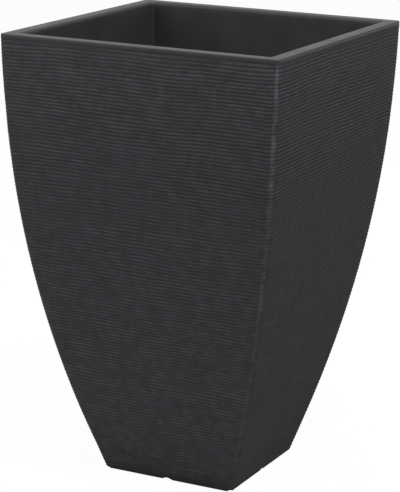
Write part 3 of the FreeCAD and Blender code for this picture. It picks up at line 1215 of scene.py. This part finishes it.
@dataclass
class SmoothLiner:
    """The lift-out inner moulding: a smooth tapering well, a thick rim and four drain holes.

    Args:
        side: the curve that its walls follow, inside the shell's face.
        height: the height of the rim's top.
        rim_width: width of the rim plate.
        rim_thickness: its thickness.
        lip_depth: how far the lip hangs below the rim plate.
        lip_thickness: thickness of the lip.
        outer_round: radius of the rim's outer edge.
        inner_round: radius of the rim's inner edge.
        root_round: radius between the rim's underside and the wall.
        wall: thickness of the wall.
        floor_top: height of the floor's upper face.
        floor_thickness: thickness of the floor.
        floor_round: radius between the wall and the floor inside.
        floor_share: width of the floor's innermost loop as a share of the floor.
        corner_radius: radius of the upright corners at the rim.
        corner_segments: steps in such a corner.
        side_cuts: cuts in each side of the rim's square.
        round_steps: steps in each round.
        wall_steps: steps down each face of the wall.
        drain_radius: radius of a drain hole.
        drain_reach: how far the holes lie from the middle, both ways.
        drain_sides: how many flats go round the drill.
        drill_overrun: the drill's length as a share of the floor's thickness.
        smooth_angle: edges that turn by more degrees than this stay sharp.
    """

    side: PotSide
    height: float
    rim_width: float = 0.020
    rim_thickness: float = 0.0035
    lip_depth: float = 0.001
    lip_thickness: float = 0.003
    outer_round: float = 0.0015
    inner_round: float = 0.0045
    root_round: float = 0.003
    wall: float = 0.003
    floor_top: float = 0.074
    floor_thickness: float = 0.004
    floor_round: float = 0.008
    floor_share: float = 0.97
    corner_radius: float = 0.005
    corner_segments: int = 10
    side_cuts: int = 15
    round_steps: int = 6
    wall_steps: int = 20
    drain_radius: float = 0.010
    drain_reach: float = 0.055
    drain_sides: int = 64
    drill_overrun: float = 5.0
    smooth_angle: float = 38.0

    @property
    def half(self) -> float:
        """Half of the rim's width."""
        return self.side.top_width / 2

    @property
    def lip_level(self) -> float:
        """Height of the lip's lower edge."""
        return self.height - self.rim_thickness - self.lip_depth

    def build(self, material: bpy.types.Material) -> bpy.types.Object:
        """Model the liner and dress it.

        Args:
            material: its finish.

        Returns:
            The finished piece.
        """
        liner = self._draw_square()
        self._sweep_well(liner)
        self._sweep_underside(liner)
        self._drill_drains(liner)
        self._mark_edges(liner)
        Workbench.settle(liner, self.smooth_angle)
        dress(liner, material)
        return liner

    def _draw_square(self) -> bpy.types.Object:
        """Lay down the lip's lower edge: a plane with rounded corners, whose face is taken out.

        Returns:
            The loop, open in edit mode.
        """
        Workbench.clear()
        bpy.ops.mesh.primitive_plane_add(size=2 * self.half, location=(0, 0, self.lip_level))
        liner = Workbench.named("smooth_liner")
        Workbench.place_in_mesh()
        Workbench.edit(liner)
        bpy.ops.mesh.select_all(action="SELECT")
        bpy.ops.mesh.bevel(offset=self.corner_radius, segments=self.corner_segments,
                           affect="VERTICES")
        Workbench.pick_edges(liner, lambda a, b: (a - b).length > self.half)
        bpy.ops.mesh.subdivide(number_cuts=self.side_cuts)
        bpy.ops.mesh.select_all(action="SELECT")
        bpy.ops.mesh.delete(type="ONLY_FACE")
        return liner

    def _turned_down(self, edge: float, level: float, radius: float) -> list[Ring]:
        """Loops of a round that turns from a level face down into a wall inside it.

        Args:
            edge: half width of the wall's loop.
            level: height of the level face.
            radius: the round's radius.

        Returns:
            The loops from the face to the wall.
        """
        return [Ring(edge + radius * (1 - math.sin(angle)), level - radius * (1 - math.cos(angle)))
                for angle in quarter_turns(self.round_steps)]

    def _wall_and_floor(self, inset: float, floor: float, floor_round: float) -> list[Ring]:
        """Loops down one face of the wall and round into one face of the floor.

        Args:
            inset: how far that face lies inside the shell's face.
            floor: the height of the floor's face.
            floor_round: radius between the two.

        Returns:
            The loops from the top of the wall to the floor's innermost loop.
        """
        rounds = self.side.floor_round(floor, inset, floor_round, self.round_steps)
        wall = self.side.descent(self.side.upright_level, rounds[0].level, inset, self.wall_steps)
        return [*wall, *rounds, Ring(rounds[-1].half * self.floor_share, floor)]

    def _sweep_well(self, liner: bpy.types.Object) -> None:
        """Draw the lip's edge up, over the rim, down the well and across its floor.

        Args:
            liner: the object that is open in edit mode.
        """
        outer = [Ring(self.half - self.outer_round * (1 - math.cos(angle)),
                      self.height - self.outer_round * (1 - math.sin(angle)))
                 for angle in quarter_turns(self.round_steps)]
        inner = self._turned_down(self.half - self.rim_width, self.height, self.inner_round)
        well = self._wall_and_floor(self.rim_width, self.floor_top, self.floor_round)
        Workbench.pick_edges(liner, lambda a, b: True)
        Workbench.sweep(Ring(self.half, self.lip_level), [*outer, *inner, *well])
        bpy.ops.mesh.edge_face_add()

    def _sweep_underside(self, liner: bpy.types.Object) -> None:
        """Draw the lip's edge in over the tongue's seat, down the outside and across the underside.

        Args:
            liner: the object that is open in edit mode, which it leaves.
        """
        seat = self.height - self.rim_thickness
        lip = self.half - self.lip_thickness
        inset = self.rim_width - self.wall
        root = self._turned_down(self.half - inset, seat, self.root_round)
        outside = self._wall_and_floor(inset, self.floor_top - self.floor_thickness,
                                       self.floor_round + self.wall)
        edge = self.half - self.corner_radius
        Workbench.pick_edges(liner, lambda a, b: all(
            abs(point.z - self.lip_level) < SAME_PLACE and max(abs(point.x), abs(point.y)) > edge
            for point in (a, b)))
        Workbench.sweep(Ring(self.half, self.lip_level), [
            Ring(lip, self.lip_level), Ring(lip, seat), *root, *outside,
        ])
        bpy.ops.mesh.edge_face_add()
        Workbench.face_outwards()
        bpy.ops.object.mode_set(mode="OBJECT")

    def _drill_drains(self, liner: bpy.types.Object) -> None:
        """Drill the four drain holes through the floor.

        Args:
            liner: the closed liner.
        """
        for across in (-self.drain_reach, self.drain_reach):
            for along in (-self.drain_reach, self.drain_reach):
                drill = Workbench.rod("drain_drill", self.drain_sides, self.drain_radius,
                                      self.drill_overrun * self.floor_thickness,
                                      (across, along, self.floor_top))
                Workbench.combine(liner, drill, Joining.CUT)

    def _mark_edges(self, liner: bpy.types.Object) -> None:
        """Mark the rim's top, where painted light makes it lighter.

        Args:
            liner: the closed liner.
        """
        edge = Workbench.mask(liner, WearMask.EDGE)
        for vertex in liner.data.vertices:
            # Painted light on the rim's top face.
            drop = self.height - vertex.co.z
            edge.data[vertex.index].value = max(0.0, 1.0 - drop / (self.outer_round / 2))


@dataclass
class DrainPlug:
    """A soft bung with a tapered shank, a round head and a pull tab with an eye.

    Args:
        shank_radius: radius of the shank under the head.
        tip_inset: how much thinner its tip is.
        shank: its length.
        head_radius: radius of the head.
        head: its thickness.
        head_round: radius of its upper edge.
        head_segments: steps in that edge.
        sides: how many flats go round the head and the shank.
        tab_width: width of the pull tab.
        tab_height: its height above the head.
        tab_thickness: its thickness.
        tab_root: how far it goes into the head.
        tab_round: radius of its edges.
        tab_segments: steps in those edges.
        crown_segments: steps in each half of its round crown.
        crown_gap: how far each half of the crown stops short of the other.
        eye_radius: radius of its eye.
        eye_sides: how many flats go round the eye.
        drill_overrun: length of the eye's drill as a share of the tab's thickness.
        rim_wear: the band of the head's rim that wears, as a share of its edge's radius.
        rim_wear_level: the height from which the rim wears.
        crown_wear: the share of the tab's height from which its crown wears.
        smooth_angle: edges that turn by more degrees than this stay sharp.
    """

    shank_radius: float = 0.0097
    tip_inset: float = 0.001
    shank: float = 0.008
    head_radius: float = 0.015
    head: float = 0.003
    head_round: float = 0.0012
    head_segments: int = 5
    sides: int = 64
    tab_width: float = 0.014
    tab_height: float = 0.014
    tab_thickness: float = 0.004
    tab_root: float = 0.001
    tab_round: float = 0.0008
    tab_segments: int = 3
    crown_segments: int = 12
    crown_gap: float = 0.00001
    eye_radius: float = 0.0035
    eye_sides: int = 40
    drill_overrun: float = 4.0
    rim_wear: float = 1.1
    rim_wear_level: float = 0.001
    crown_wear: float = 0.8
    smooth_angle: float = 40.0

    def build(self, material: bpy.types.Material) -> bpy.types.Object:
        """Model one plug with its head's seat at the origin, and dress it.

        Args:
            material: its finish.

        Returns:
            The plug.
        """
        plug = self._turn_head()
        Workbench.combine(plug, self._cut_tab(), Joining.ADD)
        self._mark_edges(plug)
        Workbench.settle(plug, self.smooth_angle)
        dress(plug, material)
        return plug

    def _turn_head(self) -> bpy.types.Object:
        """Make the head from a rod, round its top edge and draw the shank out of its underside.

        Returns:
            The head with its shank.
        """
        plug = Workbench.rod("drain_plug", self.sides, self.head_radius, self.head,
                             (0, 0, self.head / 2))
        Workbench.place_in_mesh()
        Workbench.edit(plug)
        Workbench.pick_edges(plug, lambda a, b: min(a.z, b.z) > self.head - SAME_PLACE)
        bpy.ops.mesh.bevel(offset=self.head_round, segments=self.head_segments, affect="EDGES")
        Workbench.pick_faces(plug, lambda centre, normal: (
            centre.z < SAME_PLACE and normal.z < -FACING))
        bpy.ops.mesh.inset(thickness=self.head_radius - self.shank_radius)
        bpy.ops.mesh.extrude_region_move(TRANSFORM_OT_translate={"value": (0, 0, -self.shank)})
        taper = (self.shank_radius - self.tip_inset) / self.shank_radius
        bpy.ops.transform.resize(value=(taper, taper, 1), center_override=(0, 0, -self.shank))
        bpy.ops.object.mode_set(mode="OBJECT")
        return plug

    def _cut_tab(self) -> bpy.types.Object:
        """Make the pull tab from a cube: a round crown, softened edges and an eye through it.

        Returns:
            The tab.
        """
        low = self.head - self.tab_root
        high = self.head + self.tab_height
        side = self.tab_thickness / 2
        Workbench.clear()
        bpy.ops.mesh.primitive_cube_add(size=1.0, location=(0, 0, (low + high) / 2),
                                        scale=(self.tab_width, self.tab_thickness, high - low))
        tab = Workbench.named("pull_tab")
        Workbench.place_in_mesh()
        Workbench.edit(tab)
        Workbench.pick_edges(tab, lambda a, b: (
            min(a.z, b.z) > high - SAME_PLACE and abs(a.x - b.x) < SAME_PLACE))
        bpy.ops.mesh.bevel(offset=self.tab_width / 2 - self.crown_gap,
                           segments=self.crown_segments, affect="EDGES")
        Workbench.pick_edges(tab, lambda a, b: (
            abs(a.y - b.y) < SAME_PLACE and abs(abs(a.y) - side) < SAME_PLACE
            and max(a.z, b.z) > low + SAME_PLACE))
        bpy.ops.mesh.bevel(offset=self.tab_round, segments=self.tab_segments, affect="EDGES")
        drill = Workbench.rod("eye_drill", self.eye_sides, self.eye_radius,
                              self.drill_overrun * self.tab_thickness,
                              (0, 0, high - self.tab_width / 2), (QUARTER, 0, 0))
        Workbench.combine(tab, drill, Joining.CUT)
        return tab

    def _mark_edges(self, plug: bpy.types.Object) -> None:
        """Mark the head's rim and the tab's crown, where the rubber rubs.

        Args:
            plug: the plug with its tab.
        """
        edge = Workbench.mask(plug, WearMask.EDGE)
        rim_start = self.head_radius - self.rim_wear * self.head_round
        crown_start = self.head + self.crown_wear * self.tab_height
        for vertex in plug.data.vertices:
            on_rim = vertex.co.xy.length > rim_start and vertex.co.z > self.rim_wear_level
            edge.data[vertex.index].value = float(on_rim or vertex.co.z > crown_start)

    def seat(self, model: bpy.types.Object, place: PlugPlace) -> bpy.types.Object:
        """Copy the plug into one drain hole.

        Args:
            model: the plug at the origin.
            place: which hole it closes.

        Returns:
            The copy, with its own mesh.
        """
        low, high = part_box(place.value)
        plug = model.copy()
        plug.data = model.data.copy()
        plug.name = f"plug_{place.name.lower()}"
        plug.data.name = plug.name
        bpy.context.collection.objects.link(plug)
        plug.location = ((low[0] + high[0]) / 2, (low[1] + high[1]) / 2, low[2] + self.shank)
        Workbench.take(plug)
        Workbench.place_in_mesh()
        return plug


@dataclass
class PhotoCamera:
    """The camera at the photograph's place, in a frame of 400 by 492.

    Args:
        azimuth: how far round to the right of the front it stands, in degrees.
        elevation: how far above the level it stands, in degrees.
        distance: how far from the pot's axis it stands.
        aim_height: the height on that axis that it looks at.
        focal_pixels: its focal length in pixels.
        centre: where in the frame the point that it looks at lies, in pixels.
        roll: how far it is rolled, in degrees.
        frame_size: the frame's width and height in pixels.
        sensor_height: height of its sensor in millimetres.
        far_limit: how far it sees.
    """

    azimuth: float = 26.905
    elevation: float = 14.971
    distance: float = 2.7051
    aim_height: float = 0.2842
    focal_pixels: float = 2006.2
    centre: tuple[float, float] = (202.64, 260.0)
    roll: float = 0.888
    frame_size: tuple[int, int] = (400, 492)
    sensor_height: float = 36.0
    far_limit: float = 100.0

    def build(self) -> None:
        """Place the camera and make it the scene's own."""
        data = bpy.data.cameras.new("photo_camera")
        camera = bpy.data.objects.new("photo_camera", data)
        bpy.context.collection.objects.link(camera)
        turn, tilt = math.radians(self.azimuth), math.radians(self.elevation)
        back = Vector((math.sin(turn) * math.cos(tilt), -math.cos(turn) * math.cos(tilt),
                       math.sin(tilt)))
        camera.location = Vector((0, 0, self.aim_height)) + back * self.distance
        camera.rotation_euler = back.to_track_quat("Z", "Y").to_matrix().to_euler()
        camera.rotation_euler.rotate_axis("Z", math.radians(self.roll))
        wide, high = self.frame_size
        data.sensor_fit = "VERTICAL"
        data.sensor_height = self.sensor_height
        data.lens = self.focal_pixels * self.sensor_height / high
        data.shift_x = (wide / 2 - self.centre[0]) / high
        data.shift_y = (self.centre[1] - high / 2) / high
        data.clip_end = self.far_limit
        bpy.context.scene.camera = camera


@dataclass(frozen=True)
class SoftLamp:
    """A large soft lamp that points at the pot.

    Args:
        name: its name.
        place: where it hangs.
        size: its width and height.
        power: its power in watts.
    """

    name: str
    place: tuple[float, float, float]
    size: tuple[float, float]
    power: float

    def build(self, aim: Vector) -> None:
        """Hang the lamp and turn it to a point.

        Args:
            aim: the point.
        """
        data = bpy.data.lights.new(self.name, "AREA")
        data.shape = "RECTANGLE"
        data.size, data.size_y = self.size
        data.energy = self.power
        lamp = bpy.data.objects.new(self.name, data)
        bpy.context.collection.objects.link(lamp)
        lamp.location = self.place
        lamp.rotation_euler = (lamp.location - aim).to_track_quat("Z", "Y").to_euler()


@dataclass
class Studio:
    """A pale floor, a white surround and soft lamps.

    Args:
        floor_size: width of the floor.
        floor_colour: its colour.
        floor_glow: how far it is plain white where it is seen.
        surround: the surround's strength as a light.
        aim_height: the height on the pot's axis that the lamps point at.
        lamps: the lamps.
    """

    floor_size: float = 40.0
    floor_colour: tuple[float, float, float, float] = (0.70, 0.70, 0.70, 1.0)
    floor_glow: float = 0.97
    surround: float = 0.155
    aim_height: float = 0.35
    lamps: tuple[SoftLamp, ...] = (
        SoftLamp("overhead", (0.0, 0.0, 3.0), (1.6, 1.6), 36.0),
        SoftLamp("front_right", (1.25, -0.75, 3.60), (0.8, 0.8), 180.0),
        SoftLamp("front_left", (-1.55, -1.15, 1.35), (1.6, 1.6), 33.0),
        SoftLamp("back", (-0.35, 2.00, 0.32), (1.6, 0.4), 10.0),
    )

    def build(self) -> None:
        """Lay the floor, light the scene and set the colours' display."""
        Workbench.clear()
        bpy.ops.mesh.primitive_plane_add(size=self.floor_size)
        floor = Workbench.named("studio_floor")
        dress(floor, self._floor_finish())
        for lamp in self.lamps:
            lamp.build(Vector((0, 0, self.aim_height)))
        self._surround()
        bpy.context.scene.view_settings.view_transform = "Standard"
        Workbench.clear()

    @staticmethod
    def _seen(board: NodeBoard) -> bpy.types.NodeSocket:
        """Tell rays that come from the camera, a mirror or glass from others.

        Args:
            board: the node tree that asks.

        Returns:
            An output that is 1 for those rays and 0 for others.
        """
        path = board.add("ShaderNodeLightPath").outputs
        glossy = board.sum(Sum.LARGER, path["Is Glossy Ray"], path["Is Transmission Ray"])
        return board.sum(Sum.LARGER, path["Is Camera Ray"], glossy)

    def _floor_finish(self) -> bpy.types.Material:
        """Make a pale floor that reads as white and keeps the pot's shadow.

        Returns:
            The new material.
        """
        material = bpy.data.materials.new("pale_floor")
        material.use_nodes = True
        board = NodeBoard(material.node_tree)
        paint = board.add("ShaderNodeBsdfDiffuse", {"Color": self.floor_colour})
        glow = board.add("ShaderNodeEmission", {"Color": WHITE, "Strength": 1.0})
        share = board.sum(Sum.TIMES, self._seen(board), self.floor_glow)
        layers = (share, paint.outputs["BSDF"], glow.outputs["Emission"])
        mix = board.add("ShaderNodeMixShader", dict(enumerate(layers)))
        board.add("ShaderNodeOutputMaterial", {"Surface": mix.outputs["Shader"]})
        return material

    def _surround(self) -> None:
        """Make a surround that is white where it is seen and dimmer as a light."""
        world = bpy.data.worlds.new("white_surround")
        world.use_nodes = True
        board = NodeBoard(world.node_tree)
        dim = board.sum(Sum.TIMES, self._seen(board), 1.0 - self.surround)
        strength = board.sum(Sum.PLUS, dim, self.surround)
        light = board.add("ShaderNodeBackground", {"Color": WHITE, "Strength": strength})
        board.add("ShaderNodeOutputWorld", {"Surface": light.outputs["Background"]})
        bpy.context.scene.world = world


def main() -> None:
    """Build every piece, the studio and the camera."""
    logging.basicConfig(level=logging.INFO, format="%(name)s: %(message)s")
    height = Vector(CAD_BOX[1]).z
    effects = SharedEffects()

    shell = RibbedShell(PotSide(height)).build(SHELL_FINISH.build(effects))
    deliver(shell, ["outer_shell"], "shell")

    liner_side = PotSide(height - LINER_SHOULDER)
    liner = SmoothLiner(liner_side, height).build(LINER_FINISH.build(effects))
    deliver(liner, ["inner_liner"], "liner")

    drain_plug = DrainPlug()
    model = drain_plug.build(PLUG_FINISH.build(effects))
    for place in PlugPlace:
        deliver(drain_plug.seat(model, place), [place.value], place.value)
    bpy.data.objects.remove(model, do_unlink=True)

    Studio().build()
    PhotoCamera().build()


if __name__ == "__main__":
    main()
